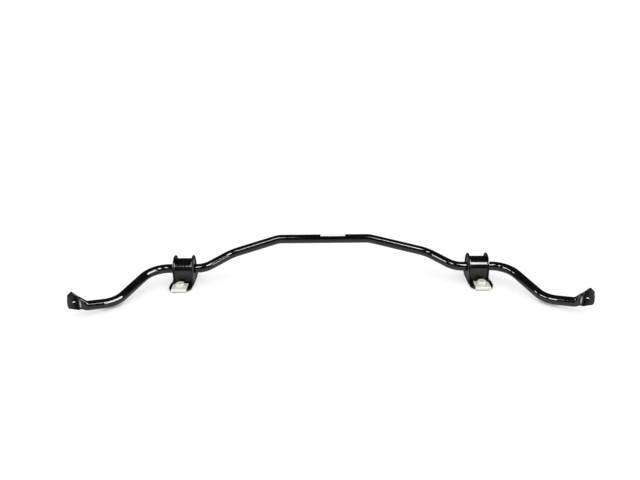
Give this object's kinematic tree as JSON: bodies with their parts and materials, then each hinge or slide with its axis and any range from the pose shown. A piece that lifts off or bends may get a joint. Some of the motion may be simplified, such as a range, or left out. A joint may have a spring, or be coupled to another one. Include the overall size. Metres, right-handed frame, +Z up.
{
  "type": "sway bar",
  "caption": "Bowed round steel sway bar with forged link eyes and two rubber bushings in flanged stamped brackets with clipped captive nuts.",
  "frame": {"origin": "on the plane under the bracket feet, at the middle of the part's plan", "axes": "+X along the bar to its right end, +Y to the rear (the raised centre run's side), +Z up from the mounting plane"},
  "size_m": [1.1624, 0.2499, 0.094],
  "materials": {
    "gloss_black_paint": "gloss black powder coat",
    "bracket_paint": "black e-coat",
    "rubber": "moulded matt black",
    "ivory_nylon": "moulded ivory nylon",
    "plated_steel": "zinc plated",
    "white_label": "white label stock"
  },
  "bodies": {
    "bar": {"sway_bar": "gloss_black_paint", "identification_label": "white_label"},
    "left_mount": {"bushing_left": "rubber", "strap_left": "bracket_paint", "base_plate_left": "bracket_paint", "front_clip_left": "ivory_nylon", "rear_clip_left": "ivory_nylon", "front_nut_left": "plated_steel", "rear_nut_left": "plated_steel"},
    "right_mount": {"bushing_right": "rubber", "strap_right": "bracket_paint", "base_plate_right": "bracket_paint", "front_clip_right": "ivory_nylon", "rear_clip_right": "ivory_nylon", "front_nut_right": "plated_steel", "rear_nut_right": "plated_steel"}
  },
  "joints": [
    {"name": "left_bushing_turn", "type": "hinge", "parent": "bar", "child": "left_mount", "pos_m": [-0.352, 0.0506, 0.034], "axis": [1, 0, 0], "range_deg": [-30, 30]},
    {"name": "right_bushing_turn", "type": "hinge", "parent": "bar", "child": "right_mount", "pos_m": [0.3573, 0.0506, 0.034], "axis": [1, 0, 0], "range_deg": [-30, 30]}
  ]
}
